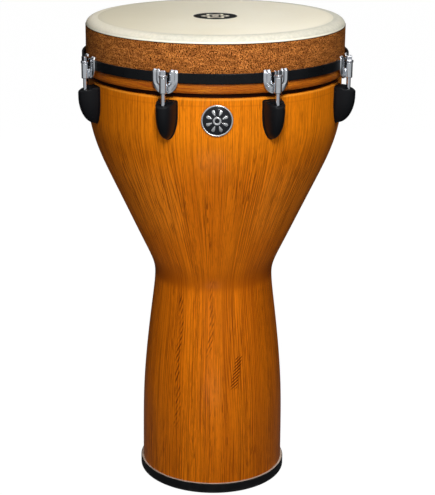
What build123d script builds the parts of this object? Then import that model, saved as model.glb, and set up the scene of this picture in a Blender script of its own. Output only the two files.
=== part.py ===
from build123d import *
import math
import os

# Key-tuned goblet drum, 12 in playing head, 24 in tall.  Units: millimetres.
# +Z runs up the drum's axis; the origin is on the axis in the plane the foot
# stands on.  -Y is the front (badge side).
# In names, _r is a distance from the drum's axis (or a radius), _z a height,
# _d a diameter and _t a thickness.

# ---------------------------------------------------------------------------
# Dimensions shared by several pieces
# ---------------------------------------------------------------------------
height = 610.0

# shell
wall = 6.0
foot_r = 93.2            # outside of the lower rim
foot_in_r = foot_r - wall
shell_bottom_z = 5.0
ring_top_z = 14.0        # top of the foot ring, where the shell's flare starts
bowl_r = 159.0           # outside of the bowl behind the lugs
bowl_in_r = bowl_r - wall
bowl_z = 495.0           # the bowl is cylindrical above this height

# head
film_t = 0.5
skirt_r = 160.9          # film skirt, outside
skirt_in_r = skirt_r - film_t
crown_drop_z = 602.0     # the film turns vertical here
collar_r = 161.5
potting_z = 550.0        # film and collar end inside the flesh hoop's groove
flesh_top_z = 556.5      # the counterhoop sits on this

# counterhoop
hoop_r = 166.5
hoop_top_z = 568.5

# tuning hardware
stations = 8
station_pitch = 360 / stations
first_angle = -67.5      # angle of station 1 about +Z, from +X
rod_axis_r = 173.0
barrel_bot_z, barrel_top_z = 545.0, 563.5
washer_t = 1.1           # rod washer, on top of the claw's barrel
rod_d = 5.5              # 7/32 in - 24

# lugs
gasket_t = 1.0
lug_seat_r = bowl_r + gasket_t
lug_half_w = 11.8
lug_bot_z = 488.6
lug_taper_z = 518.0      # the cheeks curve in below this height
lug_top_back_z = 534.3
nut_d, nut_h, nut_bot_z = 9.6, 13.0, 508.0
screw_z = (526.5, 501.5)
screw_d = 5.0
screw_tip_r = 167.5
screw_clear_r = screw_d / 2 + 0.25   # holes in shell and gasket

# cutting tools
reach = 200.0            # extrusions from the axis that pass beyond everything
drill_start_r = 150.0    # screw holes in lug and gasket start here
drill_len = 30.0
core_z, core_h = 512.0, 80.0         # cylinders that trim lug and gasket

os.makedirs("parts", exist_ok=True)


def save(builder, name):
    builder.part.label = name
    export_step(builder.part, f"parts/{name}.step")


def station_angle(i):
    return first_angle + station_pitch * i


def polar(radius, angle, z=0.0):
    """Point at a radius, an angle in degrees from +X, and a height."""
    a = math.radians(angle)
    return (radius * math.cos(a), radius * math.sin(a), z)


def section_plane(angle):
    """Upright plane through the axis: local x points outwards, local y up."""
    return Plane(origin=(0, 0, 0), x_dir=polar(1, angle), z_dir=polar(1, angle - 90))


def circles(builder, radius):
    """The builder's circular edges of one radius."""
    return (
        builder.edges()
        .filter_by(GeomType.CIRCLE)
        .filter_by(lambda e: abs(e.radius - radius) < 0.01)
    )


def inset(points, t):
    """(z, radius) points moved inwards by t along the local normal."""
    moved = []
    last = len(points) - 1
    for k, (z, r) in enumerate(points):
        before = points[max(k - 1, 0)]
        after = points[min(k + 1, last)]
        dz, dr = after[0] - before[0], after[1] - before[1]
        if k in (0, last):
            dr = 0.0     # the wall is vertical at both ends
        length = math.hypot(dz, dr)
        moved.append((z + t * dr / length, r - t * dz / length))
    return moved


# ---------------------------------------------------------------------------
# Shell
# ---------------------------------------------------------------------------
# outside of the flare from foot to bowl: (z, radius)
profile = [
    (ring_top_z, foot_r), (60.0, 93.0), (110.0, 92.0), (160.0, 88.7), (200.0, 84.6),
    (235.0, 80.4), (260.0, 77.4), (271.0, 76.5), (280.0, 76.4), (290.0, 77.9),
    (300.0, 81.3), (320.0, 90.4), (345.0, 102.1), (375.0, 116.0),
    (410.0, 132.3), (450.0, 149.3), (475.0, 156.4), (bowl_z, bowl_r),
]
outer = [(r, z) for z, r in profile]
inner = [(r, z) for z, r in inset(profile, wall)]

seam_angle = 78.75       # start of the revolve, at the back and clear of the lugs
shoulder_z = 538.0
shoulder_round = 1.5
neck_r = 155.5           # recessed neck the head slides over
neck_bore_r = 149.5
bore_step_top_z = shoulder_z + 22.0  # the bore widens from here ...
bore_step_bot_z = shoulder_z + 4.0   # ... down to here
edge_apex_r = 151.0      # bearing edge crown
edge_apex_z = 609.35
edge_out_round = neck_r - edge_apex_r
edge_in_round = edge_apex_r - neck_bore_r
shell_drill_start_r = 140.0

with BuildPart() as shell:
    with BuildSketch(section_plane(seam_angle)):
        with BuildLine():
            Line((foot_r, shell_bottom_z), outer[0])
            Spline(*outer, tangents=((0, 1), (0, 1)))
            shoulder_start = (bowl_r, shoulder_z - shoulder_round)
            shoulder_end = (bowl_r - shoulder_round, shoulder_z)
            Line(outer[-1], shoulder_start)
            RadiusArc(shoulder_start, shoulder_end, -shoulder_round)
            neck = Polyline(
                shoulder_end,
                (neck_r, shoulder_z),
                (neck_r, edge_apex_z - edge_out_round),
            )
            crown = RadiusArc(neck @ 1, (edge_apex_r, edge_apex_z), -edge_out_round)
            bore_lip = (neck_bore_r, edge_apex_z - edge_in_round)
            RadiusArc(crown @ 1, bore_lip, -edge_in_round)
            Polyline(
                bore_lip,
                (neck_bore_r, bore_step_top_z),
                (bowl_in_r, bore_step_bot_z),
                inner[-1],
            )
            Spline(*reversed(inner), tangents=((0, -1), (0, -1)))
            Polyline(inner[0], (foot_in_r, shell_bottom_z), (foot_r, shell_bottom_z))
        make_face()
    revolve(axis=Axis.Z)
    # clearance holes for the lug screws
    for i in range(stations):
        for z in screw_z:
            angle = station_angle(i)
            drill_plane = Plane(
                origin=polar(shell_drill_start_r, angle, z), z_dir=polar(1, angle)
            )
            with BuildSketch(drill_plane):
                Circle(screw_clear_r)
            extrude(amount=drill_len, mode=Mode.SUBTRACT)
save(shell, "shell")

# ---------------------------------------------------------------------------
# Foot ring: rubber channel over the lower rim
# ---------------------------------------------------------------------------
ring_r, ring_in_r = 96.5, 84.0
out_bot_round, out_top_round = 3.0, 1.6
in_bot_round, in_top_round = 1.5, 1.0

with BuildPart() as foot_ring:
    with BuildSketch(Plane.XZ):
        with BuildLine():
            base = Line((ring_in_r + in_bot_round, 0), (ring_r - out_bot_round, 0))
            corner = RadiusArc(base @ 1, (ring_r, out_bot_round), -out_bot_round)
            side = Line(corner @ 1, (ring_r, ring_top_z - out_top_round))
            corner = RadiusArc(side @ 1, (ring_r - out_top_round, ring_top_z), -out_top_round)
            channel = Polyline(
                corner @ 1,
                (foot_r, ring_top_z),
                (foot_r, shell_bottom_z),
                (foot_in_r, shell_bottom_z),
                (foot_in_r, ring_top_z),
                (ring_in_r + in_top_round, ring_top_z),
            )
            corner = RadiusArc(channel @ 1, (ring_in_r, ring_top_z - in_top_round), -in_top_round)
            side = Line(corner @ 1, (ring_in_r, in_bot_round))
            RadiusArc(side @ 1, base @ 0, -in_bot_round)
        make_face()
    revolve(axis=Axis.Z)
save(foot_ring, "foot_ring")

# ---------------------------------------------------------------------------
# Head: film, collar band, flesh hoop
# ---------------------------------------------------------------------------
flat_r = 150.0           # the playing surface is flat inside this radius
film_under_z = height - film_t

with BuildPart() as head_membrane:
    with BuildSketch(Plane.XZ):
        with BuildLine():
            Line((0, height), (flat_r, height))
            EllipticalCenterArc(
                (flat_r, crown_drop_z), skirt_r - flat_r, height - crown_drop_z,
                start_angle=0, arc_size=90,
            )
            Polyline(
                (skirt_r, crown_drop_z),
                (skirt_r, potting_z),
                (skirt_in_r, potting_z),
                (skirt_in_r, crown_drop_z),
            )
            EllipticalCenterArc(
                (flat_r, crown_drop_z), skirt_in_r - flat_r, film_under_z - crown_drop_z,
                start_angle=0, arc_size=90,
            )
            Polyline((flat_r, film_under_z), (0, film_under_z), (0, height))
        make_face()
    revolve(axis=Axis.Z)
save(head_membrane, "head_membrane")

collar_round = 0.4

with BuildPart() as head_collar:
    with BuildSketch(Plane.XZ):
        with BuildLine():
            side = Polyline(
                (skirt_r, potting_z),
                (collar_r, potting_z),
                (collar_r, crown_drop_z - collar_round),
            )
            corner = RadiusArc(side @ 1, (collar_r - collar_round, crown_drop_z), -collar_round)
            Polyline(corner @ 1, (skirt_r, crown_drop_z), (skirt_r, potting_z))
        make_face()
    revolve(axis=Axis.Z)
save(head_collar, "head_collar")

flesh_in_r, flesh_r = 157.6, 163.6
flesh_bot_z = 544.0
flesh_curve_w, flesh_curve_h = 3.6, 7.0   # elliptical lower outside corner
flesh_in_bevel, flesh_out_bevel = 0.8, 0.6

with BuildPart() as flesh_hoop:
    with BuildSketch(Plane.XZ):
        with BuildLine():
            EllipticalCenterArc(
                (flesh_r - flesh_curve_w, flesh_bot_z + flesh_curve_h),
                flesh_curve_w, flesh_curve_h,
                start_angle=-90, arc_size=90,
            )
            # up the outside, through the groove for film and collar, down the inside
            Polyline(
                (flesh_r, flesh_bot_z + flesh_curve_h),
                (flesh_r, flesh_top_z - flesh_out_bevel),
                (flesh_r - flesh_out_bevel, flesh_top_z),
                (collar_r, flesh_top_z),
                (collar_r, potting_z),
                (skirt_in_r, potting_z),
                (skirt_in_r, flesh_top_z),
                (flesh_in_r + flesh_in_bevel, flesh_top_z),
                (flesh_in_r, flesh_top_z - flesh_in_bevel),
                (flesh_in_r, flesh_bot_z + flesh_in_bevel),
                (flesh_in_r + flesh_in_bevel, flesh_bot_z),
                (flesh_r - flesh_curve_w, flesh_bot_z),
            )
        make_face()
    revolve(axis=Axis.Z)
save(flesh_hoop, "flesh_hoop")

# ---------------------------------------------------------------------------
# Counterhoop: rolled steel angle, flange inwards at the bottom
# ---------------------------------------------------------------------------
hoop_web_in_r = 163.9
hoop_flange_in_r = 161.9
hoop_flange_top_z = flesh_top_z + 2.5
hoop_out_round, hoop_in_round = 0.9, 0.7

with BuildPart() as counterhoop:
    with BuildSketch(Plane.XZ) as hoop_section:
        with BuildLine():
            Polyline(
                (hoop_flange_in_r, flesh_top_z),
                (hoop_r, flesh_top_z),
                (hoop_r, hoop_top_z),
                (hoop_web_in_r, hoop_top_z),
                (hoop_web_in_r, hoop_flange_top_z),
                (hoop_flange_in_r, hoop_flange_top_z),
                close=True,
            )
        make_face()
        fillet(
            hoop_section.vertices().filter_by(lambda v: v.X > hoop_r - 0.1), hoop_out_round
        )
        fillet(
            hoop_section.vertices().filter_by(
                lambda v: abs(v.X - hoop_web_in_r) < 0.1 and v.Y > hoop_top_z - 0.1
            ),
            hoop_in_round,
        )
    revolve(axis=Axis.Z)
save(counterhoop, "counterhoop")

# The tuning hardware below is modelled on +X and turned to its stations later.

# ---------------------------------------------------------------------------
# Claw: curved plate with two hooks over the hoop and a barrel for the rod
# ---------------------------------------------------------------------------
claw_t = 2.2
claw_in_r = hoop_r + 0.2
claw_out_r = claw_in_r + claw_t
claw_bot_z = 544.4
claw_blank_bot_z = claw_bot_z - 1    # the outline trims the plate below
claw_half_arc = 7.0                  # degrees either side of the station
hook_in_r = 162.15
hook_lip_r = 163.7
hook_lip_z = hoop_top_z - 3.4
hook_rise = 3.9                      # top of the hook above the hoop
hook_mid_r = (hook_in_r + claw_out_r) / 2

claw_half_w = 16.3
claw_cut_z = 576.0                   # top of the outline, above the hooks
claw_taper_z = 561.0                 # the sides curve in below this height
claw_flat_half_w = 4.0               # flat part of the bottom
claw_gap = 5.7                       # half of the gap between the two hooks
claw_notch_z = 559.6                 # the gap's round bottom is struck from here
claw_round = 0.8

ridge_places = (0.26, 0.72)          # fractions of the arm's width from the gap
ridge_len, ridge_w, ridge_z = 14.5, 2.3, 560.2
ridge_start_r = claw_in_r + 0.2
ridge_depth = claw_t + 0.3
ridge_round = 0.4

barrel_d, barrel_hole = 9.0, 6.5
barrel_h = barrel_top_z - barrel_bot_z
barrel_centre = (rod_axis_r, 0, (barrel_bot_z + barrel_top_z) / 2)
barrel_round = 0.5
web_bot_z, web_top_z = barrel_bot_z + 1, 556.5
web_depth, web_w = 4.0, 5.4
web_mid_r = rod_axis_r - 3.4

with BuildPart() as claw:
    with BuildSketch(section_plane(-claw_half_arc)):
        with BuildLine():
            Polyline(
                (claw_in_r, claw_blank_bot_z),
                (claw_out_r, claw_blank_bot_z),
                (claw_out_r, hoop_top_z),
            )
            EllipticalCenterArc(
                (hook_mid_r, hoop_top_z), claw_out_r - hook_mid_r, hook_rise,
                start_angle=0, arc_size=180,
            )
            Polyline(
                (hook_in_r, hoop_top_z),
                (hook_in_r, hook_lip_z),
                (hook_lip_r, hook_lip_z),
                (hook_lip_r, hoop_top_z),
                (claw_in_r, hoop_top_z),
                (claw_in_r, claw_blank_bot_z),
            )
        make_face()
    revolve(axis=Axis.Z, revolution_arc=2 * claw_half_arc)
    # front outline: two arms, U-shaped gap, sides curving in to a flat bottom
    with BuildSketch(Plane.YZ):
        with BuildLine():
            for side, start_angle in ((-1, 180), (1, 270)):
                EllipticalCenterArc(
                    (side * claw_flat_half_w, claw_taper_z),
                    claw_half_w - claw_flat_half_w, claw_taper_z - claw_bot_z,
                    start_angle=start_angle, arc_size=90,
                )
                Polyline(
                    (side * claw_half_w, claw_taper_z),
                    (side * claw_half_w, claw_cut_z),
                    (side * claw_gap, claw_cut_z),
                    (side * claw_gap, claw_notch_z),
                )
            Line((-claw_flat_half_w, claw_bot_z), (claw_flat_half_w, claw_bot_z))
            ThreePointArc(
                (claw_gap, claw_notch_z), (0, claw_notch_z - claw_gap), (-claw_gap, claw_notch_z)
            )
        make_face()
    extrude(amount=reach, mode=Mode.INTERSECT)
    # soften the stamped edges of the plate's outer face, below the hooks
    outer_edges = (
        claw.edges()
        .filter_by(lambda e: (e @ 0.5).X ** 2 + (e @ 0.5).Y ** 2 > (claw_out_r - 0.6) ** 2)
        .filter_by(lambda e: (e @ 0.5).Z < hoop_top_z - 0.2)
    )
    fillet(outer_edges, claw_round)
    # two pressed ridges up each arm
    ridge_y = [
        side * (claw_gap + place * (claw_half_w - claw_gap))
        for side in (-1, 1) for place in ridge_places
    ]
    with BuildSketch(Plane.YZ.offset(ridge_start_r)):
        with Locations(*[(y, ridge_z) for y in ridge_y]):
            SlotOverall(ridge_len, ridge_w, rotation=90)
    extrude(amount=ridge_depth)
    ridge_faces = claw.faces().filter_by(Plane.YZ).sort_by(Axis.X)[-len(ridge_y):]
    fillet(ridge_faces.edges(), ridge_round)
    # barrel, and the web joining it to the plate
    with Locations(barrel_centre):
        Cylinder(barrel_d / 2, barrel_h)
    with Locations((web_mid_r, 0, (web_bot_z + web_top_z) / 2)):
        Box(web_depth, web_w, web_top_z - web_bot_z)
    with Locations(barrel_centre):
        Cylinder(barrel_hole / 2, barrel_h + 2, mode=Mode.SUBTRACT)
    top_rim = circles(claw, barrel_d / 2).filter_by(
        lambda e: abs((e @ 0.5).Z - barrel_top_z) < 0.01
    )
    fillet(top_rim, barrel_round)

# ---------------------------------------------------------------------------
# Rod washer
# ---------------------------------------------------------------------------
washer_d, washer_hole = 10.4, 6.2
washer_bevel = 0.25

with BuildPart() as rod_washer:
    with BuildSketch(Plane.XY.offset(barrel_top_z)):
        with Locations((rod_axis_r, 0)):
            Circle(washer_d / 2)
            Circle(washer_hole / 2, mode=Mode.SUBTRACT)
    extrude(amount=washer_t)
    chamfer(circles(rod_washer, washer_d / 2), washer_bevel)

# ---------------------------------------------------------------------------
# Tension rod: shank, round flange, square head for the drum key
# ---------------------------------------------------------------------------
rod_tip_z = 505.0
rod_tip_bevel = 0.8
flange_d, flange_t = 10.4, 1.6
flange_round = 0.5
flange_z = barrel_top_z + washer_t
square = 6.35            # 1/4 in drum key square
square_h = 5.8
square_turn = 18         # degrees
square_z = flange_z + flange_t
square_side_round, square_top_round = 0.7, 0.6

with BuildPart() as rod:
    with BuildSketch(Plane.XY.offset(rod_tip_z)):
        with Locations((rod_axis_r, 0)):
            Circle(rod_d / 2)
    extrude(amount=flange_z - rod_tip_z)
    chamfer(rod.edges().filter_by(GeomType.CIRCLE).sort_by(Axis.Z)[0], rod_tip_bevel)
    with BuildSketch(Plane.XY.offset(flange_z)):
        with Locations((rod_axis_r, 0)):
            Circle(flange_d / 2)
    extrude(amount=flange_t)
    fillet(circles(rod, flange_d / 2), flange_round)
    with BuildSketch(Plane.XY.offset(square_z)):
        with Locations((rod_axis_r, 0)):
            Rectangle(square, square, rotation=square_turn)
    extrude(amount=square_h)
    fillet(
        rod.edges().filter_by(Axis.Z).filter_by(lambda e: (e @ 0.5).Z > square_z),
        square_side_round,
    )
    fillet(rod.faces().sort_by(Axis.Z)[-1].edges(), square_top_round)

# ---------------------------------------------------------------------------
# Lug: bullet with a stepped top, hollowed for nut and screws
# ---------------------------------------------------------------------------
lug_nose_r = 182.0
lug_nose_mid_r = lug_nose_r - lug_half_w
lug_blank_in_r = 155.0               # back of the block before it is trimmed
lug_profile_in_r = 150.0
lug_top_front_z = 532.0
lug_top_nose_z = 528.2
lug_belly_z = 523.0                  # the nose curves in below this height
step_back_r, step_front_r = 167.2, 170.0
nose_slope_r = 174.5                 # the top slopes down outside this radius
lug_round = 0.9
rod_bore_r, rod_bore_bot_z, rod_bore_top_z = 3.4, 503.8, 540.0
sink_r, sink_h = 4.8, 1.6            # countersink
pocket_w, pocket_h = nut_d + 0.2, nut_h + 0.3
pocket_in_r = 158.0
nut_mid_z = nut_bot_z + nut_h / 2

with BuildPart() as lug:
    # plan section: straight cheeks and a round nose
    with BuildSketch(Plane.XY.offset(lug_bot_z - 2)):
        with Locations((lug_nose_mid_r, 0)):
            Circle(lug_half_w)
        with Locations(((lug_blank_in_r + lug_nose_mid_r) / 2, 0)):
            Rectangle(lug_nose_mid_r - lug_blank_in_r, 2 * lug_half_w)
    extrude(amount=lug_top_back_z - lug_bot_z + 4)
    # side profile: sloped step at the top, quarter ellipse running in to the bowl
    with BuildSketch(Plane.XZ):
        with BuildLine():
            Polyline(
                (bowl_r, lug_bot_z),
                (lug_profile_in_r, lug_bot_z),
                (lug_profile_in_r, lug_top_back_z),
                (step_back_r, lug_top_back_z - 0.4),
                (step_front_r, lug_top_front_z),
                (nose_slope_r, lug_top_front_z - 0.1),
                (lug_nose_r + 2, lug_top_nose_z),
                (lug_nose_r + 2, lug_belly_z),
                (lug_nose_r, lug_belly_z),
            )
            EllipticalCenterArc(
                (bowl_r, lug_belly_z), lug_nose_r - bowl_r, lug_belly_z - lug_bot_z,
                start_angle=270, arc_size=90,
            )
        make_face()
    extrude(amount=20, both=True, mode=Mode.INTERSECT)
    # front outline: straight sides, half-elliptic tip
    with BuildSketch(Plane.YZ):
        with BuildLine():
            Polyline(
                (lug_half_w, lug_taper_z),
                (lug_half_w + 1, lug_taper_z),
                (lug_half_w + 1, 540),
                (-lug_half_w - 1, 540),
                (-lug_half_w - 1, lug_taper_z),
                (-lug_half_w, lug_taper_z),
            )
            EllipticalCenterArc(
                (0, lug_taper_z), lug_half_w, lug_taper_z - lug_bot_z,
                start_angle=180, arc_size=180,
            )
        make_face()
    extrude(amount=reach, mode=Mode.INTERSECT)
    # seat on the gasket
    with Locations((0, 0, core_z)):
        Cylinder(lug_seat_r, core_h, mode=Mode.SUBTRACT)
    top_edges = (
        lug.edges()
        .filter_by(lambda e: (e @ 0.5).Z > lug_top_nose_z - 0.2)
        .filter_by(lambda e: math.hypot((e @ 0.5).X, (e @ 0.5).Y) > lug_seat_r + 1.5)
        .filter_by(lambda e: abs((e @ 0.5).Y) > 1.0 or (e @ 0.5).X > 175)
    )
    fillet(top_edges, lug_round)
    # rod bore, countersunk at the top, running down past the nut
    with Locations((rod_axis_r, 0, (rod_bore_bot_z + rod_bore_top_z) / 2)):
        Cylinder(rod_bore_r, rod_bore_top_z - rod_bore_bot_z, mode=Mode.SUBTRACT)
    with Locations((rod_axis_r, 0, lug_top_front_z - 0.2)):
        Cone(rod_bore_r, sink_r, sink_h, mode=Mode.SUBTRACT)
    # pocket for the nut, open towards the shell
    with Locations((rod_axis_r, 0, nut_mid_z)):
        Cylinder(pocket_w / 2, pocket_h, mode=Mode.SUBTRACT)
    with Locations(((rod_axis_r + pocket_in_r) / 2, 0, nut_mid_z)):
        Box(rod_axis_r - pocket_in_r, pocket_w, pocket_h, mode=Mode.SUBTRACT)
    # screw holes from the back
    for z in screw_z:
        with BuildSketch(Plane(origin=(drill_start_r, 0, z), z_dir=(1, 0, 0))):
            Circle(screw_d / 2 + 0.05)
        extrude(amount=screw_tip_r + 0.8 - drill_start_r, mode=Mode.SUBTRACT)

# ---------------------------------------------------------------------------
# Gasket: follows the lug's outline with a narrow margin
# ---------------------------------------------------------------------------
gasket_half_w = lug_half_w + 0.9
gasket_top_z = lug_top_back_z + 0.9
gasket_bot_z = lug_bot_z - 1.2
gasket_round = 2.6
gasket_in_r = bowl_r + 0.02

with BuildPart() as gasket:
    with BuildSketch(Plane.YZ):
        with BuildLine():
            corner_z = gasket_top_z - gasket_round
            corner_y = gasket_half_w - gasket_round
            Line((-gasket_half_w, lug_taper_z), (-gasket_half_w, corner_z))
            RadiusArc((-gasket_half_w, corner_z), (-corner_y, gasket_top_z), gasket_round)
            Line((-corner_y, gasket_top_z), (corner_y, gasket_top_z))
            RadiusArc((corner_y, gasket_top_z), (gasket_half_w, corner_z), gasket_round)
            Line((gasket_half_w, corner_z), (gasket_half_w, lug_taper_z))
            EllipticalCenterArc(
                (0, lug_taper_z), gasket_half_w, lug_taper_z - gasket_bot_z,
                start_angle=180, arc_size=180,
            )
        make_face()
    extrude(amount=reach)
    with Locations((0, 0, core_z)):
        Cylinder(lug_seat_r, core_h, mode=Mode.INTERSECT)
    with Locations((0, 0, core_z)):
        Cylinder(gasket_in_r, core_h, mode=Mode.SUBTRACT)
    for z in screw_z:
        with BuildSketch(Plane(origin=(drill_start_r, 0, z), z_dir=(1, 0, 0))):
            Circle(screw_clear_r)
        extrude(amount=drill_len, mode=Mode.SUBTRACT)

# ---------------------------------------------------------------------------
# Swivel nut
# ---------------------------------------------------------------------------
nut_hole = rod_d + 0.1
nut_bevel = 0.6

with BuildPart() as nut:
    with BuildSketch(Plane.XY.offset(nut_bot_z)):
        with Locations((rod_axis_r, 0)):
            Circle(nut_d / 2)
            Circle(nut_hole / 2, mode=Mode.SUBTRACT)
    extrude(amount=nut_h)
    chamfer(circles(nut, nut_d / 2), nut_bevel)

# ---------------------------------------------------------------------------
# Lug screws and their washers, inside the shell, at both screw heights
# ---------------------------------------------------------------------------
screw_washer_t = 1.0
screw_washer_r = 6.0
washer_face_r = bowl_in_r - 0.13     # face towards the shell
head_seat_r = washer_face_r - screw_washer_t
screw_head_r, screw_head_h = 4.5, 3.4
screw_head_round = 1.4
recess_len, recess_w, recess_depth = 5.0, 1.1, 1.8

with BuildPart() as screw:
    for z in screw_z:
        with BuildSketch(Plane(origin=(head_seat_r, 0, z), z_dir=(1, 0, 0))):
            Circle(screw_d / 2)
        extrude(amount=screw_tip_r - head_seat_r)
        with BuildSketch(Plane(origin=(head_seat_r, 0, z), z_dir=(-1, 0, 0))):
            Circle(screw_head_r)
        extrude(amount=screw_head_h)
    fillet(
        circles(screw, screw_head_r).filter_by(lambda e: (e @ 0.5).X < head_seat_r - 2.0),
        screw_head_round,
    )
    # cross recess
    for z in screw_z:
        with Locations((head_seat_r - screw_head_h + recess_depth / 2, 0, z)):
            Box(recess_depth, recess_len, recess_w, mode=Mode.SUBTRACT)
            Box(recess_depth, recess_w, recess_len, mode=Mode.SUBTRACT)

with BuildPart() as screw_washer:
    for z in screw_z:
        with BuildSketch(Plane(origin=(head_seat_r, 0, z), z_dir=(1, 0, 0))):
            Circle(screw_washer_r)
            Circle(screw_d / 2 + 0.15, mode=Mode.SUBTRACT)
        extrude(amount=screw_washer_t)

# ---------------------------------------------------------------------------
# Place the hardware at the eight stations
# ---------------------------------------------------------------------------
# one file per station
for i in range(stations):
    for master, name in (
        (claw, "claw"), (rod, "tension_rod"), (lug, "lug"), (nut, "swivel_nut"),
    ):
        with BuildPart() as placed:
            add(master.part, rotation=(0, 0, station_angle(i)))
        save(placed, f"{name}_{i + 1}")

# one file for all stations
for master, name in (
    (rod_washer, "rod_washers"), (gasket, "lug_gaskets"),
    (screw, "lug_screws"), (screw_washer, "lug_screw_washers"),
):
    with BuildPart() as group:
        for i in range(stations):
            add(master.part, rotation=(0, 0, station_angle(i)))
    save(group, name)

# ---------------------------------------------------------------------------
# Badge: chromed dish with a raised rim, and a domed inlay
# ---------------------------------------------------------------------------
badge_angle = -91.3
badge_z = 512.5
badge_r = 19.0
badge_core_h = 60.0                  # cylinders that trim the badge
badge_rim_r = bowl_r + 2.2           # distances of rim, floor and crown from the axis
badge_floor_r = bowl_r + 1.0
dome_crown_r = bowl_r + 3.0
dish_r = badge_r - 1.9
dome_r = badge_r - 1.95
ball_r = 120.0

badge_plane = Plane(
    origin=(0, 0, badge_z), x_dir=polar(1, badge_angle + 90), z_dir=polar(1, badge_angle)
)

with BuildPart() as badge_plate:
    with BuildSketch(badge_plane):
        Circle(badge_r)
    extrude(amount=reach)
    with Locations((0, 0, badge_z)):
        Cylinder(badge_rim_r, badge_core_h, mode=Mode.INTERSECT)
    with Locations((0, 0, badge_z)):
        Cylinder(bowl_r, badge_core_h, mode=Mode.SUBTRACT)
    # recess inside the rim
    with BuildPart(mode=Mode.PRIVATE) as dish:
        with BuildSketch(badge_plane):
            Circle(dish_r)
        extrude(amount=reach)
        with Locations((0, 0, badge_z)):
            Cylinder(badge_floor_r, badge_core_h, mode=Mode.SUBTRACT)
    add(dish.part, mode=Mode.SUBTRACT)
save(badge_plate, "badge_plate")

with BuildPart() as badge_dome:
    with BuildSketch(badge_plane):
        Circle(dome_r)
    extrude(amount=reach)
    with Locations((0, 0, badge_z)):
        Cylinder(badge_floor_r, badge_core_h, mode=Mode.SUBTRACT)
    # spherical cap
    with Locations(polar(dome_crown_r - ball_r, badge_angle, badge_z)):
        Sphere(ball_r, mode=Mode.INTERSECT)
save(badge_dome, "badge_dome")
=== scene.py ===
# A goblet-shaped wooden hand drum with a film head, tensioned at eight stations.
# Its axis is +Z, the foot stands on the floor at z = 0, and the badge faces about -Y.
# Shapes are written in millimetres; shaders, lights and the camera are in metres.

import math
from functools import cached_property

import bmesh
import bpy
import numpy as np
from mathutils import Matrix, Vector


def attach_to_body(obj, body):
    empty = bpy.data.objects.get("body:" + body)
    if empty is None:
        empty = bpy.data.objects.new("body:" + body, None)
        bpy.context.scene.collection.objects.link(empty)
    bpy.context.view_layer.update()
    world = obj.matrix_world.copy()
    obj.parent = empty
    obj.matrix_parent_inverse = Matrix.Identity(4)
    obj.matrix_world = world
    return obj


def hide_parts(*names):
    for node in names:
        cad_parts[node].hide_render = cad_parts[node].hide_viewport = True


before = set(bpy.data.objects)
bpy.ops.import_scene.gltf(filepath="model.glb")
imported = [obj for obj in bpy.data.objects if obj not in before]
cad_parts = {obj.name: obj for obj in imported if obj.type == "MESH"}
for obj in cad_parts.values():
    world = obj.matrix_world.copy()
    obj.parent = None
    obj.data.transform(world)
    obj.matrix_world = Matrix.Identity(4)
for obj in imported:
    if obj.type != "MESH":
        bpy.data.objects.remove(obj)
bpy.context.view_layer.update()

TAU = 2 * math.pi

# Tensioning stations, by angle about +Z
STATIONS = 8
FIRST_ANGLE = -67.5                 # degrees
ROD_CIRCLE = 173.0                  # radius the rods stand on

# Shell
SHELL_R = 159.0                     # widest part of the bowl
WALL = 6.0
BORE_R = SHELL_R - WALL
FOOT_R = 93.2                       # wood at the foot
SHELL_BOTTOM = 5.0
SHOULDER_Z = 538.0
NECK_R = 155.5
BEARING_Z = 609.3                   # top of the wood, under the head
FOOT_RING_TOP = 14.0

# Head
FILM = 0.5                          # film thickness
CROWN_R, CROWN_Z = 150.0, 602.0     # centre of the curved edge of the head
CROWN_OUT, CROWN_UP = 10.9, 8.0     # reach of that curve
SKIRT_R = CROWN_R + CROWN_OUT
SKIRT_BOTTOM = 550.0
COLLAR_R = 161.5
FLESH_BOTTOM, FLESH_TOP = 544.0, 556.5


# ---------------------------------------------------------------------------
# mesh helpers
# ---------------------------------------------------------------------------
def new_object(name, verts, faces, uvs=None, sharp=None):
    """smooth-shaded object from mm points; edges beyond `sharp` degrees are marked sharp"""
    mesh = bpy.data.meshes.new(name)
    mesh.from_pydata([tuple(v) for v in np.asarray(verts, float) / 1000], [], faces)
    mesh.validate()
    mesh.polygons.foreach_set("use_smooth", [True] * len(mesh.polygons))
    if uvs is not None:
        layer = mesh.uv_layers.new(name="map")
        index = np.zeros(len(mesh.loops), np.int32)
        mesh.loops.foreach_get("vertex_index", index)
        layer.data.foreach_set("uv", np.asarray(uvs, np.float32)[index].ravel())
    mesh.update()
    bm = bmesh.new()
    bm.from_mesh(mesh)
    bmesh.ops.recalc_face_normals(bm, faces=bm.faces)
    bm.to_mesh(mesh)
    bm.free()
    if sharp is not None:
        mesh.set_sharp_from_angle(angle=math.radians(sharp))
    return link(name, mesh)


def link(name, data):
    o = bpy.data.objects.new(name, data)
    bpy.context.scene.collection.objects.link(o)
    return o


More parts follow.
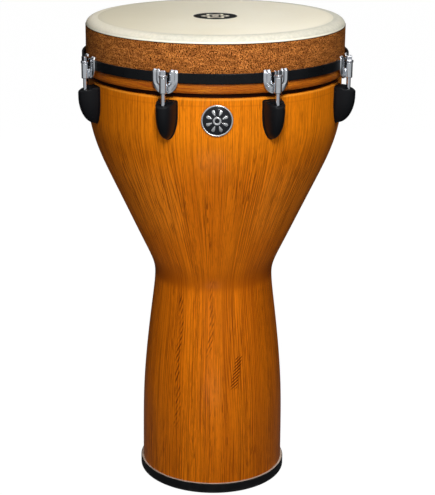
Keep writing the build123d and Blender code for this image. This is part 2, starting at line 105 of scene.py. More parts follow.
def rounded(corners, seg):
    """closed profile from (r, z, rounding) corners

    A support point beside each round keeps the flats shading flat.
    """
    count = len(corners)
    points = [np.array(c[:2], float) for c in corners]
    out = []
    for i, (point, corner) in enumerate(zip(points, corners)):
        if corner[2] <= 0:
            out.append(tuple(point))
            continue
        before = points[(i - 1) % count] - point
        after = points[(i + 1) % count] - point
        before_len, after_len = np.linalg.norm(before), np.linalg.norm(after)
        before, after = before / before_len, after / after_len
        half = math.acos(np.clip(before @ after, -1, 1)) / 2
        # the round takes less than half of either side
        cut = min(corner[2] / math.tan(half), 0.46 * before_len, 0.46 * after_len)
        radius = cut * math.tan(half)
        bisector = before + after
        centre = point + bisector / np.linalg.norm(bisector) * radius / math.sin(half)
        start, end = point + before * cut, point + after * cut
        out.append(tuple(start + before * min(0.3 * radius, 0.05 * before_len)))
        spoke_a, spoke_b = start - centre, end - centre
        turn = math.acos(np.clip(spoke_a @ spoke_b / (radius * radius), -1, 1))
        for k in range(seg + 1):
            f = k / seg
            spoke = math.sin((1 - f) * turn) * spoke_a + math.sin(f * turn) * spoke_b
            out.append(tuple(centre + spoke / math.sin(turn)))
        out.append(tuple(end + after * min(0.3 * radius, 0.05 * after_len)))
    return out


def spin(name, profile, closed=True, sharp=None, seg=360):
    """surface of revolution about Z from (r, z) points; a point at r = 0 becomes a pole"""
    verts, uvs, rows = [], [], []
    length = 0.0
    last = profile[0]
    for r, z in profile:
        length += math.hypot(r - last[0], z - last[1])
        last = (r, z)
        if r < 1e-6:
            rows.append([len(verts)])
            verts.append((0, 0, z))
            uvs.append((0.5, length / 1000))
            continue
        rows.append(range(len(verts), len(verts) + seg))
        for k in range(seg):
            a = TAU * k / seg
            verts.append((r * math.cos(a), r * math.sin(a), z))
            uvs.append((k / seg, length / 1000))
    faces = []
    for p, q in list(zip(rows, rows[1:])) + ([(rows[-1], rows[0])] if closed else []):
        for k in range(seg):
            m = (k + 1) % seg
            if len(p) == 1:
                faces.append((p[0], q[m], q[k]))
            elif len(q) == 1:
                faces.append((p[k], p[m], q[0]))
            else:
                faces.append((p[k], p[m], q[m], q[k]))
    return new_object(name, verts, faces, uvs, sharp)


def loop_faces(count, size, base=0, closed=False):
    """faces through `count` loops of `size` points, joined end to end or else capped"""
    faces = []
    for i in range(count if closed else count - 1):
        a, b = base + i * size, base + (i + 1) % count * size
        for k in range(size):
            m = (k + 1) % size
            faces.append((a + k, a + m, b + m, b + k))
    if not closed:
        faces.append(tuple(range(base, base + size))[::-1])
        faces.append(tuple(range(base + (count - 1) * size, base + count * size)))
    return faces


def skin(name, loops, closed=False, sharp=None):
    """skin through loops that all have the same number of points"""
    faces = loop_faces(len(loops), len(loops[0]), closed=closed)
    return new_object(name, np.concatenate(loops), faces, sharp=sharp)


def circle_loop(radius, z, count, power=None, turn=0.0):
    """level loop round the rod axis on +X; `power` squares it off, turned by `turn`"""
    a = np.arange(count) * TAU / count
    reach = radius * np.ones(count)
    if power:
        c, s = np.abs(np.cos(a - turn)), np.abs(np.sin(a - turn))
        reach = reach / (c**power + s**power) ** (1 / power)
    return np.stack([ROD_CIRCLE + reach * np.cos(a), reach * np.sin(a), np.full(count, z)], 1)


# ---------------------------------------------------------------------------
# shader helpers
# ---------------------------------------------------------------------------
class Value:
    """a shader output that arithmetic, masks and colour layers can be written with"""

    def __init__(self, graph, socket):
        self.graph = graph
        self.socket = socket

    def __add__(self, other):
        return self.graph.math("ADD", self, other)

    def __radd__(self, other):
        return self.graph.math("ADD", other, self)

    def __sub__(self, other):
        return self.graph.math("SUBTRACT", self, other)

    def __rsub__(self, other):
        return self.graph.math("SUBTRACT", other, self)

    def __mul__(self, other):
        return self.graph.math("MULTIPLY", self, other)

    def __truediv__(self, other):
        return self.graph.math("DIVIDE", self, other)

    def __abs__(self):
        return self.graph.math("ABSOLUTE", self)

    def beat(self):
        """distance from the middle of each unit cycle"""
        return abs(self.graph.math("FRACT", self) - 0.5)

    def map(self, low, high, to=(0.0, 1.0), kind="LINEAR"):
        """low..high becomes to[0]..to[1], held beyond the ends"""
        return self.graph.value("MapRange", (self, low, high, *to), interpolation_type=kind)

    def rise(self, low, high):
        """smooth mask, 0 below low and 1 above high"""
        return self.map(low, high, kind="SMOOTHSTEP")

    def fall(self, low, high):
        """smooth mask, 1 below low and 0 above high"""
        return 1.0 - self.rise(low, high)

    def between(self, rise, fall):
        """smooth mask that rises over one span and falls over a later one"""
        return self.rise(*rise) * self.fall(*fall)

    def mix(self, over, amount, blend="MIX"):
        return self.graph.mix(self, over, amount, blend)


class Graph:
    """node tree of a material or a world"""

    def __init__(self, owner, output):
        owner.use_nodes = True
        self.tree = owner.node_tree
        self.tree.nodes.clear()
        self.output = self.node(output)

    def put(self, socket, v):
        if isinstance(v, Value):
            self.tree.links.new(v.socket, socket)
        elif isinstance(v, tuple) and socket.type == "RGBA":
            socket.default_value = (*v, 1)
        elif v is not None:
            socket.default_value = v

    def node(self, kind, inputs=(), **settings):
        """node with its settings; inputs go by position or, from a dict, by name"""
        made = self.tree.nodes.new("ShaderNode" + kind)
        for key, setting in settings.items():
            setattr(made, key, setting)
        pairs = inputs.items() if isinstance(inputs, dict) else enumerate(inputs)
        for key, v in pairs:
            self.put(made.inputs[key], v)
        return made

    def value(self, kind, inputs=(), out=0, **settings):
        return Value(self, self.node(kind, inputs, **settings).outputs[out])

    def show(self, shader):
        self.put(self.output.inputs[0], shader)

    def math(self, operation, a, b=None):
        return self.value("Math", (a, b), operation=operation)

    def max(self, a, b):
        return self.math("MAXIMUM", a, b)

    def split(self, vector):
        return [Value(self, s) for s in self.node("SeparateXYZ", (vector,)).outputs]

    def mix(self, under, over, amount, blend="MIX"):
        # a Mix node keeps its colour sockets at 6 and 7, and its colour output at 2
        inputs = {0: amount, 6: under, 7: over}
        return self.value("Mix", inputs, out=2, data_type="RGBA", blend_type=blend)

    def mix_shader(self, amount, under, over):
        return self.value("MixShader", (amount, under, over))


class Surface(Graph):
    """Principled material with coordinates about the drum's axis"""

    def __init__(self, name):
        self.material = bpy.data.materials.new(name)
        super().__init__(self.material, "OutputMaterial")
        self.principled = self.node("BsdfPrincipled")
        self.show(Value(self, self.principled.outputs[0]))

    @cached_property
    def coord(self):
        return self.value("TexCoord", out="Object")

    @cached_property
    def axes(self):
        return self.split(self.coord)

    @cached_property
    def radius(self):
        x, y, _ = self.axes
        return self.max(self.math("SQRT", x * x + y * y), 1e-5)

    @cached_property
    def direction(self):
        x, y, _ = self.axes
        return x / self.radius, y / self.radius

    def vector(self, x, y, z):
        return self.value("CombineXYZ", (x, y, z))

    def noise(self, vector, scale=1.0, detail=2.0, rough=0.5, distortion=0.0):
        return self.value("TexNoise", {"Vector": vector, "Scale": scale, "Detail": detail,
                                       "Roughness": rough, "Distortion": distortion})

    def wrapped(self, around, up, detail=2.0, rough=0.5):
        """noise wrapped round the axis: `around` and `up` are its two frequencies"""
        cx, cy = self.direction
        vector = self.vector(cx * around, cy * around, self.axes[2] * up)
        return self.noise(vector, detail=detail, rough=rough)

    def ramp(self, amount, *stops):
        """colour ramp of (position, colour or grey) stops"""
        node = self.node("ValToRGB", (amount,))
        elements = node.color_ramp.elements
        while len(elements) < len(stops):
            elements.new(0.5)
        for element, (position, colour) in zip(elements, stops):
            element.position = position
            element.color = (*(colour if isinstance(colour, tuple) else (colour,) * 3), 1)
        return Value(self, node.outputs[0])

    def bump(self, height, strength, distance, normal=None):
        return self.value("Bump", {"Height": height, "Strength": strength,
                                   "Distance": distance, "Normal": normal})

    def finish(self, **inputs):
        """set Principled inputs, named with underscores for spaces"""
        for key, v in inputs.items():
            self.put(self.principled.inputs[key.replace("_", " ")], v)
        return self.material


def brighter(colour, factor, lift=0.0):
    return tuple(c * factor + lift for c in colour)


# ---------------------------------------------------------------------------
# materials
# ---------------------------------------------------------------------------
def shell_wood():
    m = Surface("shell_wood_grain")
    x, y, z = m.axes
    turn = m.math("ARCTAN2", x, y * -1.0)       # angle from -Y, positive towards +X

    # growth lines: close and fine, bent by slow figure into long arches in places
    figure = m.wrapped(around=1.5, up=1.5, detail=1.0, rough=0.4)
    wander = m.wrapped(around=9.0, up=6.0)

    def growth(count, arch, stray, width):
        bend = figure * arch + wander * stray
        return (turn * (count / TAU) + bend).beat().fall(width * 0.55, width)

    low = z.fall(0.26, 0.36)
    lines = m.mix(growth(count=252, arch=24.0, stray=2.6, width=0.18),
                  growth(count=176, arch=17.0, stray=1.7, width=0.155), amount=low)
    broken = m.wrapped(around=64.0, up=14.0, rough=0.7).map(0.36, 0.56, to=(0.10, 1.0))
    spread = m.wrapped(around=6.0, up=3.0, detail=2.5).map(0.42, 0.60, to=(0.04, 1.0))
    # the foot's +X flank is close-grained
    flank = turn.between(rise=(0.30, 0.52), fall=(1.25, 1.60)) * low
    spread = m.max(spread, flank * 0.95)
    lines = lines * (m.max(broken, flank * 0.55) * spread)

    # short dark dashes in loose clusters, longer strokes, pores, hair-fine fibres
    cluster = m.wrapped(around=7.0, up=6.0, rough=0.6).map(0.42, 0.60, to=(0.08, 1.0))
    dashes = m.wrapped(around=122.0, up=48.0, detail=1.0).rise(0.570, 0.635) * cluster
    fine_strokes = m.wrapped(around=120.0, up=9.0, detail=1.0).rise(0.600, 0.640)
    wide_strokes = m.wrapped(around=62.0, up=6.0, detail=1.0).rise(0.630, 0.660)
    strokes = m.max(fine_strokes, wide_strokes * 0.85)
    pores = m.wrapped(around=150.0, up=110.0, detail=1.0).rise(0.55, 0.66)
    fibre = m.wrapped(around=135.0, up=20.0, rough=0.6)

    # torn grain: a wavy run of slanting nicks on the foot, a second one up to the waist,
    # and a patch of short rungs
    def run(turns, sway, bottom, top, half, pitch, slant, duty):
        """nicks along a line that goes from turns[0] at the bottom to turns[1] at the top"""
        mean_radius, wave, end = 0.0885, 62.0, 0.006
        centre = z.map(bottom, top, to=turns) + m.math("SINE", z * wave) * sway
        off = (turn - centre) * mean_radius
        side = abs(off).fall(half * 0.55, half)
        ends = z.between(rise=(bottom, bottom + end), fall=(top - end, top))
        nicks = ((z + off * slant) / pitch).beat().fall(duty * 0.6, duty)
        return side * ends * nicks

    ragged = m.wrapped(around=30.0, up=60.0).map(0.40, 0.58, to=(0.15, 1.0))
    torn = run(turns=(-0.560, -0.585), sway=0.020, bottom=0.085, top=0.268,
               half=0.0044, pitch=0.0095, slant=-2.2, duty=0.27) * ragged
    upper = run(turns=(-0.095, -0.045), sway=0.016, bottom=0.185, top=0.292,
                half=0.0040, pitch=0.0110, slant=-2.6, duty=0.24)
    torn = m.max(torn, upper * (ragged * 0.8))
    rungs = run(turns=(0.262, 0.372), sway=0.0, bottom=0.142, top=0.190,
                half=0.0058, pitch=0.0050, slant=-0.95, duty=0.26) * 1.16

    # ground colour, with darker bands up the wood
    tone = m.wrapped(around=3.0, up=3.0, detail=3.0, rough=0.55)
    base = m.ramp(tone, (0.30, (0.630, 0.147, 0.0022)), (0.50, (0.710, 0.172, 0.0030)),
                  (0.70, (0.770, 0.198, 0.0040)))
    bands = m.wrapped(around=16.0, up=2.2)
    base = base.mix((0.490, 0.106, 0.0020), amount=bands.map(0.42, 0.68, to=(0.0, 0.30)))
    base = base.mix((0.470, 0.101, 0.0018), amount=flank * 0.30)
    # a pale and a deep streak down the front of the foot
    pale = abs(turn + (0.31 + wander * 0.06)).fall(0.07, 0.20)
    deep = abs(turn - (0.17 + wander * 0.08)).fall(0.05, 0.17)
    base = base.mix((0.860, 0.222, 0.0042), amount=pale * low * 0.45)
    base = base.mix((0.480, 0.104, 0.0020), amount=deep * low * 0.42)
    # pale streaks and dark patches
    streaks = m.wrapped(around=24.0, up=2.6)
    base = base.mix((0.860, 0.226, 0.0044), amount=streaks.map(0.52, 0.66, to=(0.0, 0.30)))
    patches = m.wrapped(around=20.0, up=14.0, detail=3.0, rough=0.65)
    base = base.mix((0.500, 0.108, 0.0024), amount=patches.map(0.52, 0.70, to=(0.0, 0.30)))
    # the bowl's upper part is the cleanest and yellowest
    high = z.rise(0.425, 0.495)
    base = base.mix((0.760, 0.214, 0.0040), amount=high * 0.60)
    # painted shade: the bowl's -X cheek is darkened, where less light falls
    painted_shade_cheek = z.rise(0.43, 0.47) * turn.fall(-0.80, -0.45)
    base = base.mix((0.450, 0.108, 0.0026), amount=painted_shade_cheek * 0.34)
    # painted light and a painted hazy reflection: paler, bluer colour below both cheeks, on the
    # lower bowl's down-facing flanks
    under = z.between(rise=(0.330, 0.380), fall=(0.425, 0.465))
    under = under * abs(abs(turn) - 0.75).fall(0.25, 0.50)
    base = base.mix((0.900, 0.258, 0.0130), amount=under * 0.50)

    # dark grain, weaker high on the bowl
    dark = (0.150, 0.0245, 0.0008)
    calm = high.map(0.0, 1.0, to=(1.0, 0.50))
    for mark, depth in ((lines, 0.80), (strokes, 0.58), (dashes, 0.74)):
        base = base.mix(dark, amount=mark * depth * calm)
    base = base.mix(dark, amount=pores * 0.22)
    base = base.mix((0.085, 0.014, 0.0006), amount=m.max(torn, rungs) * 0.86)
    base = base.mix(m.ramp(fibre, (0.30, 0.86), (0.70, 1.10)), amount=1.0, blend="MULTIPLY")

    # painted shade in the hollow of the waist, deeper towards the sides
    painted_shade_waist = z.between(rise=(0.268, 0.281), fall=(0.284, 0.312))
    painted_shade_waist = painted_shade_waist * abs(turn).map(0.35, 1.0, to=(0.50, 0.95))
    base = base.mix((0.310, 0.064, 0.0014), amount=painted_shade_waist)
    # painted highlight: a pale line along the shoulder's rounded edge
    painted_highlight_shoulder = z.between(rise=(0.5350, 0.5362), fall=(0.5378, 0.5382))
    base = base.mix((0.93, 0.36, 0.035), amount=painted_highlight_shoulder * 0.36)
    # thin darker line just below the shoulder
    routed = z.between(rise=(0.5278, 0.5288), fall=(0.5296, 0.5306))
    base = base.mix((0.36, 0.070, 0.0020), amount=routed * 0.22)
    # painted shadow: the neck in the gap under the head is darkened to near black
    painted_shadow_neck = z.rise(0.5381, 0.5386) * m.radius.fall(0.1572, 0.1580)
    base = base.mix((0.020, 0.0048, 0.0015), amount=painted_shadow_neck)

    relief = fibre * 0.35 + dashes * -0.6
    haze = m.noise(m.coord, scale=26.0)
    ripple = m.noise(m.coord, scale=55.0, detail=1.0)
    return m.finish(
        Base_Color=base,
        Roughness=fibre.map(0.3, 0.7, to=(0.34, 0.46)),
        Normal=m.bump(relief, strength=0.10, distance=0.0004),
        Specular_IOR_Level=0.07,
        Coat_Weight=painted_shadow_neck.map(0.0, 1.0, to=(0.11, 0.0)),
        Coat_Roughness=haze.map(0.3, 0.7, to=(0.14, 0.22)),
        Coat_Normal=m.bump(ripple, strength=0.03, distance=0.002),
        Coat_IOR=1.45)


def hoop_wood():
    m = Surface("hoop_wood_grain")
    line_pitch = 2.9                    # mm between grain lines
    wave = m.wrapped(around=9.0, up=60.0)
    grain = (m.axes[2] * (1000.0 / line_pitch) + wave * 3.2).beat().rise(0.28, 0.46)
    fibre = m.wrapped(around=34.0, up=1500.0, detail=3.0, rough=0.65)
    band = m.wrapped(around=5.0, up=300.0)
    fleck = m.wrapped(around=110.0, up=520.0, rough=0.6).rise(0.56, 0.66)
    colour = m.ramp(band, (0.3, (0.33, 0.072, 0.0034)), (0.55, (0.46, 0.122, 0.0056)),
                    (0.75, (0.58, 0.180, 0.0090)))
    colour = colour.mix((0.24, 0.034, 0.0018), amount=grain * 0.56)
    colour = colour.mix((0.20, 0.026, 0.0016), amount=fleck * 0.50)
    colour = colour.mix(m.ramp(fibre, (0.3, 0.72), (0.7, 1.16)), amount=1.0, blend="MULTIPLY")
    return m.finish(
        Base_Color=colour,
        Roughness=0.42,
        Normal=m.bump(fibre, strength=0.12, distance=0.0004),
        Coat_Weight=0.15,
        Coat_Roughness=0.20,
        Specular_IOR_Level=0.2)


def head_film():
    m = Surface("head_film")
    x, y, z = m.axes
    radius = m.radius
    mottle = m.noise(m.coord, scale=22.0, detail=4.0, rough=0.6)
    cloud = m.noise(m.coord, scale=5.5, distortion=0.3)
    fibres = m.noise(m.vector(x * 160.0, y * 420.0, z), detail=3.0, rough=0.6, distortion=0.8)
    colour = m.ramp(cloud, (0.3, (0.830, 0.760, 0.590)), (0.7, (0.890, 0.830, 0.680)))
    colour = colour.mix((0.87, 0.83, 0.70), amount=mottle.map(0.35, 0.7, to=(0.0, 0.35)))
    colour = colour.mix((0.70, 0.62, 0.46), amount=fibres.map(0.55, 0.72, to=(0.0, 0.20)))
    # painted shade: the film is made darker towards -X
    colour = colour.mix((0.62, 0.56, 0.41), amount=x.map(-0.16, 0.05, to=(0.85, 0.0)))
    # a deeper ring inside the crown, with a crisp line where the speckled crown starts
    crown = radius.rise(0.1456, 0.1464)
    ring = radius.rise(0.1385, 0.1455) * (0.20 - crown * 0.20)
    colour = colour.mix((0.50, 0.46, 0.36), amount=ring)

    # painted light: the crown's colour is lighter towards -X, where it is lit from that side
    def crown_tone(plain, painted_light_side):
        return m.mix(plain, painted_light_side, amount=x.map(-0.14, -0.05, to=(0.85, 0.0)))

    speck = m.noise(m.coord, scale=260.0, detail=3.0, rough=0.6)
    speckled = m.mix(crown_tone((0.562, 0.542, 0.452), (0.780, 0.720, 0.580)),
                     crown_tone((0.634, 0.602, 0.500), (0.830, 0.765, 0.620)),
                     amount=speck.map(0.38, 0.62))
    colour = colour.mix(speckled, amount=crown)
    low_edge = z.fall(0.6036, 0.6046)
    colour = colour.mix((0.96, 0.93, 0.76), amount=low_edge * crown * 0.7)

    # printed mark at the centre: a disc with a six-petal outline and a hub ring left open
    turn = m.math("ARCTAN2", y, x)
    petal = m.math("COSINE", turn * 6.0) * 0.0032
    soft = 0.0002                       # half width of the outline's soft edge
    disc = radius.fall(0.0272, 0.0275)
    inside = (radius - (0.0148 + petal)).fall(-soft, soft)
    outside = (radius - (0.0102 + petal)).rise(-soft, soft)
    hub = radius.between(rise=(0.0016, 0.0019), fall=(0.0046, 0.0049))
    ink = disc * (1.0 - m.max(inside * outside, hub))
    colour = colour.mix((0.004, 0.004, 0.004), amount=ink * z.rise(0.6090, 0.6095))

    tooth = m.noise(m.coord, scale=900.0, detail=3.0, rough=0.6)
    relief = m.bump(tooth, strength=0.14, distance=0.0003)
    return m.finish(
        Base_Color=colour,
        Roughness=mottle.map(0.3, 0.7, to=(0.42, 0.55)),
        Normal=m.bump(fibres, strength=0.08, distance=0.0004, normal=relief),
        Specular_IOR_Level=0.18,
        Subsurface_Weight=0.05,
        Subsurface_Scale=0.0012,
        Subsurface_Radius=(1.0, 0.7, 0.4))


def collar_granules():
    m = Surface("collar_granules")
    grain = m.noise(m.coord, scale=860.0, rough=0.6)
    grit = m.value("TexVoronoi", {"Vector": m.coord, "Scale": 1100.0}, out="Distance")
    blotch = m.noise(m.coord, scale=45.0, detail=3.0, rough=0.6)
    streak = m.wrapped(around=9.0, up=230.0, rough=0.6)
    line = m.wrapped(around=16.0, up=420.0, rough=0.6)
    colour = m.ramp(grain, (0.42, (0.030, 0.007, 0.0020)), (0.48, (0.30, 0.088, 0.0150)),
                    (0.53, (0.47, 0.158, 0.0310)), (0.62, (0.64, 0.245, 0.0560)))
    colour = colour.mix((0.19, 0.056, 0.012), amount=blotch.map(0.40, 0.66, to=(0.0, 0.10)))
    # dark and pale streaks, then finer dark lines
    colour = colour.mix((0.115, 0.031, 0.007), amount=streak.map(0.46, 0.62, to=(0.0, 0.46)))
    colour = colour.mix((0.60, 0.215, 0.0360), amount=streak.map(0.46, 0.30, to=(0.0, 0.20)))
    colour = colour.mix((0.12, 0.032, 0.007), amount=line.map(0.50, 0.64, to=(0.0, 0.46)))
    # dark seam under the cream crown
    colour = colour.mix((0.035, 0.009, 0.003), amount=m.axes[2].rise(0.6008, 0.6016))
    return m.finish(
        Base_Color=colour,
        Roughness=grain.map(0.3, 0.7, to=(0.70, 0.54)),
        Normal=m.bump(grain - grit * 0.5, strength=0.40, distance=0.0006),
        Specular_IOR_Level=0.05)


def counterhoop_enamel():
    m = Surface("counterhoop_enamel")
    black = (0.0035, 0.0038, 0.0045)
    peel = m.noise(m.coord, scale=300.0)
    dust = m.noise(m.coord, scale=28.0, detail=4.0, rough=0.6)
    return m.finish(
        Base_Color=m.mix(black, brighter(black, factor=2.2, lift=0.002),
                         amount=dust.map(0.45, 0.75, to=(0.0, 0.5))),
        Roughness=dust.map(0.3, 0.7, to=(0.24, 0.34)),
        Normal=m.bump(peel, strength=0.04, distance=0.0005),
        Specular_IOR_Level=0.12,
        Coat_Weight=0.08,
        Coat_Roughness=0.12)


def lug_powder():
    m = Surface("lug_powder")
    black = (0.0032, 0.0034, 0.0042)
    texture = m.noise(m.coord, scale=1400.0, rough=0.6)
    wave = m.noise(m.coord, scale=45.0, detail=3.0)
    return m.finish(
        Base_Color=m.mix(black, brighter(black, factor=1.9),
                         amount=texture.map(0.45, 0.7, to=(0.0, 0.6))),
        Roughness=wave.map(0.3, 0.7, to=(0.34, 0.46)),
        Normal=m.bump(texture, strength=0.10, distance=0.0003),
        Specular_IOR_Level=0.18)


def chrome(name, tint, rough, flow):
    """polished plating; `rough` is its roughness range, `flow` the scale of its waves"""
    m = Surface(name)
    wave = m.noise(m.coord, scale=flow, detail=3.0, rough=0.55)
    haze = m.noise(m.coord, scale=900.0, rough=0.6)
    spots = m.noise(m.coord, scale=420.0, detail=3.0, rough=0.65).rise(0.66, 0.74)
    colour = m.mix(tint, brighter(tint, factor=0.86), amount=wave.map(0.35, 0.7, to=(0.0, 0.4)))
    waves = m.bump(wave, strength=0.05, distance=0.0012)
    return m.finish(
        Base_Color=colour.mix((0.30, 0.29, 0.28), amount=spots * 0.25),
        Metallic=1.0,
        Roughness=wave.map(0.3, 0.7, to=rough) + spots * 0.15,
        Normal=m.bump(haze, strength=0.025, distance=0.0003, normal=waves))


def rubber(name, black, top_edge_highlight=False):
    m = Surface(name)
    z = m.axes[2]
    fine = m.noise(m.coord, scale=1500.0, detail=3.0, rough=0.6)
    scuff = m.noise(m.coord, scale=70.0, detail=5.0, rough=0.65)
    colour = m.mix(black, brighter(black, factor=2.3),
                   amount=scuff.map(0.5, 0.75, to=(0.0, 0.7)))
    # paler towards the floor, in patches
    dust = z.fall(0.0, 0.006) * scuff.map(0.4, 0.65, to=(0.05, 0.5))
    colour = colour.mix((0.06, 0.058, 0.055), amount=dust)
    if top_edge_highlight:
        # painted highlight: a pale line on the foot ring's rounded top edge where it meets the
        # wood
        lip_highlight = z.rise(0.01345, 0.01385) * m.radius.fall(0.0952, 0.0960)
        colour = colour.mix((0.58, 0.47, 0.38), amount=lip_highlight * scuff.map(0.3, 0.6, to=(0.65, 1.0)))
    return m.finish(
        Base_Color=colour,
        Roughness=scuff.map(0.3, 0.7, to=(0.42, 0.60)),
        Normal=m.bump(fine, strength=0.14, distance=0.0004),
        Specular_IOR_Level=0.22)


def zinc_plate():
    m = Surface("zinc_plate")
    fine = m.noise(m.coord, scale=700.0, detail=3.0, rough=0.6)
    cell = m.noise(m.coord, scale=130.0)
    return m.finish(
        Base_Color=m.mix((0.58, 0.58, 0.60), (0.46, 0.47, 0.50), amount=cell.map(0.3, 0.7)),
        Metallic=1.0,
        Roughness=fine.map(0.3, 0.7, to=(0.26, 0.42)),
        Normal=m.bump(fine, strength=0.1, distance=0.0003))


def turned_brass():
    m = Surface("turned_brass")
    x, y, z = m.axes
    lathe = m.noise(m.vector(x, y, z * 60.0), scale=60.0, detail=3.0, rough=0.6)
    return m.finish(
        Base_Color=m.mix((0.66, 0.45, 0.16), (0.50, 0.33, 0.11), amount=lathe.map(0.3, 0.7)),
        Metallic=1.0,
        Roughness=lathe.map(0.3, 0.7, to=(0.22, 0.36)),
        Normal=m.bump(lathe, strength=0.12, distance=0.0003))


def badge_gloss():
    m = Surface("badge_gloss")
    deep = m.noise(m.coord, scale=90.0, detail=3.0)
    ripple = m.noise(m.coord, scale=60.0, detail=1.0)
    return m.finish(
        Base_Color=m.mix((0.004, 0.0045, 0.006), (0.010, 0.011, 0.014),
                         amount=deep.map(0.3, 0.7)),
        Roughness=0.16,
        Normal=m.bump(ripple, strength=0.02, distance=0.001),
        Coat_Weight=0.55,
        Coat_Roughness=0.03,
        Specular_IOR_Level=0.10)


SHELL_WOOD = shell_wood()
HOOP_WOOD = hoop_wood()
HEAD_FILM = head_film()
COLLAR = collar_granules()
ENAMEL = counterhoop_enamel()
LUG_POWDER = lug_powder()
CLAW_CHROME = chrome("claw_chrome", tint=(0.82, 0.84, 0.87), rough=(0.08, 0.15), flow=120.0)
ROD_CHROME = chrome("rod_chrome", tint=(0.74, 0.75, 0.79), rough=(0.09, 0.17), flow=90.0)
BADGE_CHROME = chrome("badge_chrome", tint=(0.90, 0.90, 0.90), rough=(0.22, 0.30), flow=60.0)
FOOT_RUBBER = rubber("foot_rubber", black=(0.0042, 0.0044, 0.0050), top_edge_highlight=True)
GASKET_RUBBER = rubber("gasket_rubber", black=(0.004, 0.004, 0.004))
ZINC = zinc_plate()
BRASS = turned_brass()
BADGE_GLOSS = badge_gloss()


def dress(o, material):
    o.data.materials.clear()
    o.data.materials.append(material)


def attach(o, body, node=None):
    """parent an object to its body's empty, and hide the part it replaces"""
    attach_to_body(o, body)
    if node:
        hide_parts(node)


def repeat_at_stations(master, name, body, node):
    """copies of an object built on +X, sharing its mesh; {} in a name is the station number"""
    for i in range(STATIONS):
        o = link(name.format(i + 1), master.data)
        o.matrix_world = Matrix.Rotation(math.radians(FIRST_ANGLE + 360 / STATIONS * i), 4, "Z")
        attach(o, body.format(i + 1), node.format(i + 1))
    bpy.data.objects.remove(master)


def dress_frame_parts(nodes):
    for i in range(1, STATIONS + 1):
        dress(nodes[f"claw_{i}"], CLAW_CHROME)
        dress(nodes[f"swivel_nut_{i}"], BRASS)
    for name in ("rod_washers", "lug_screws", "lug_screw_washers"):
        dress(nodes[name], ZINC)
    dress(nodes["lug_gaskets"], GASKET_RUBBER)


# ---------------------------------------------------------------------------
# shell and foot ring
# ---------------------------------------------------------------------------
# outside of the goblet: (height, radius)
GOBLET = [
    (FOOT_RING_TOP, FOOT_R), (60.0, 93.0), (110.0, 92.0), (160.0, 88.7), (200.0, 84.6),
    (235.0, 80.4), (260.0, 77.4), (271.0, 76.5), (280.0, 76.4), (290.0, 77.9),
    (300.0, 81.3), (320.0, 90.4), (345.0, 102.1), (375.0, 116.0),
    (410.0, 132.3), (450.0, 149.3), (475.0, 156.4), (495.0, SHELL_R),
]


def spline(points, count):
    """cubic spline of radius over height, clamped upright at both ends"""
    z, r = np.array(points).T
    n = len(z)
    h = np.diff(z)
    slope = np.diff(r) / h
    matrix = np.zeros((n, n))
    right = np.zeros(n)
    matrix[0, 0], matrix[0, 1], right[0] = 2 * h[0], h[0], 6 * slope[0]
    matrix[-1, -1], matrix[-1, -2], right[-1] = 2 * h[-1], h[-1], -6 * slope[-1]
    for i in range(1, n - 1):
        matrix[i, i - 1:i + 2] = h[i - 1], 2 * (h[i - 1] + h[i]), h[i]
        right[i] = 6 * (slope[i] - slope[i - 1])
    bend = np.linalg.solve(matrix, right)
    heights = np.linspace(z[0], z[-1], count)
    k = np.clip(np.searchsorted(z, heights, side="right") - 1, 0, n - 2)
    below, above = heights - z[k], z[k + 1] - heights
    step = h[k]
    radii = (
        (bend[k] * above**3 + bend[k + 1] * below**3) / (6 * step)
        + (r[k] / step - bend[k] * step / 6) * above
        + (r[k + 1] / step - bend[k + 1] * step / 6) * below
    )
    return heights, radii


def shell():
    heights, radii = spline(GOBLET, 150)
    outer = list(zip(radii, heights))
    dz, dr = np.gradient(heights), np.gradient(radii)
    length = np.hypot(dz, dr)
    inner_r = np.minimum(radii - WALL * dz / length, BORE_R)
    inner = list(zip(inner_r, heights + WALL * dr / length))
    # shoulder, neck and bearing edge: (r, z, rounding); the two end points only give direction
    rim = rounded([
        (SHELL_R, 500.0, 0), (SHELL_R, SHOULDER_Z, 1.5), (NECK_R, SHOULDER_Z, 0.6),
        (NECK_R, BEARING_Z, 4.4), (149.6, BEARING_Z, 1.2), (149.5, 560.0, 6),
        (BORE_R, 542.0, 0),
    ], seg=7)[1:-1]
    profile = [(FOOT_R, SHELL_BOTTOM)] + outer + rim + [(BORE_R, 536.0)]
    profile += inner[::-1] + [(FOOT_R - WALL, SHELL_BOTTOM)]
    o = spin("shell_body_skin", profile, sharp=40)
    dress(o, SHELL_WOOD)
    attach(o, "shell_body", "shell")


def foot_ring():
    """rubber channel round the bottom of the wood"""
    inner, outer = 84.0, 96.5
    o = spin("foot_ring_skin", rounded([
        (inner, 0, 1.5), (outer, 0, 3.2), (outer, FOOT_RING_TOP, 1.7),
        (FOOT_R, FOOT_RING_TOP, 0.25), (FOOT_R, SHELL_BOTTOM, 0),
        (FOOT_R - WALL, SHELL_BOTTOM, 0), (FOOT_R - WALL, FOOT_RING_TOP, 0.3),
        (inner, FOOT_RING_TOP, 1.0),
    ], seg=7))
    dress(o, FOOT_RUBBER)
    attach(o, "shell_body", "foot_ring")


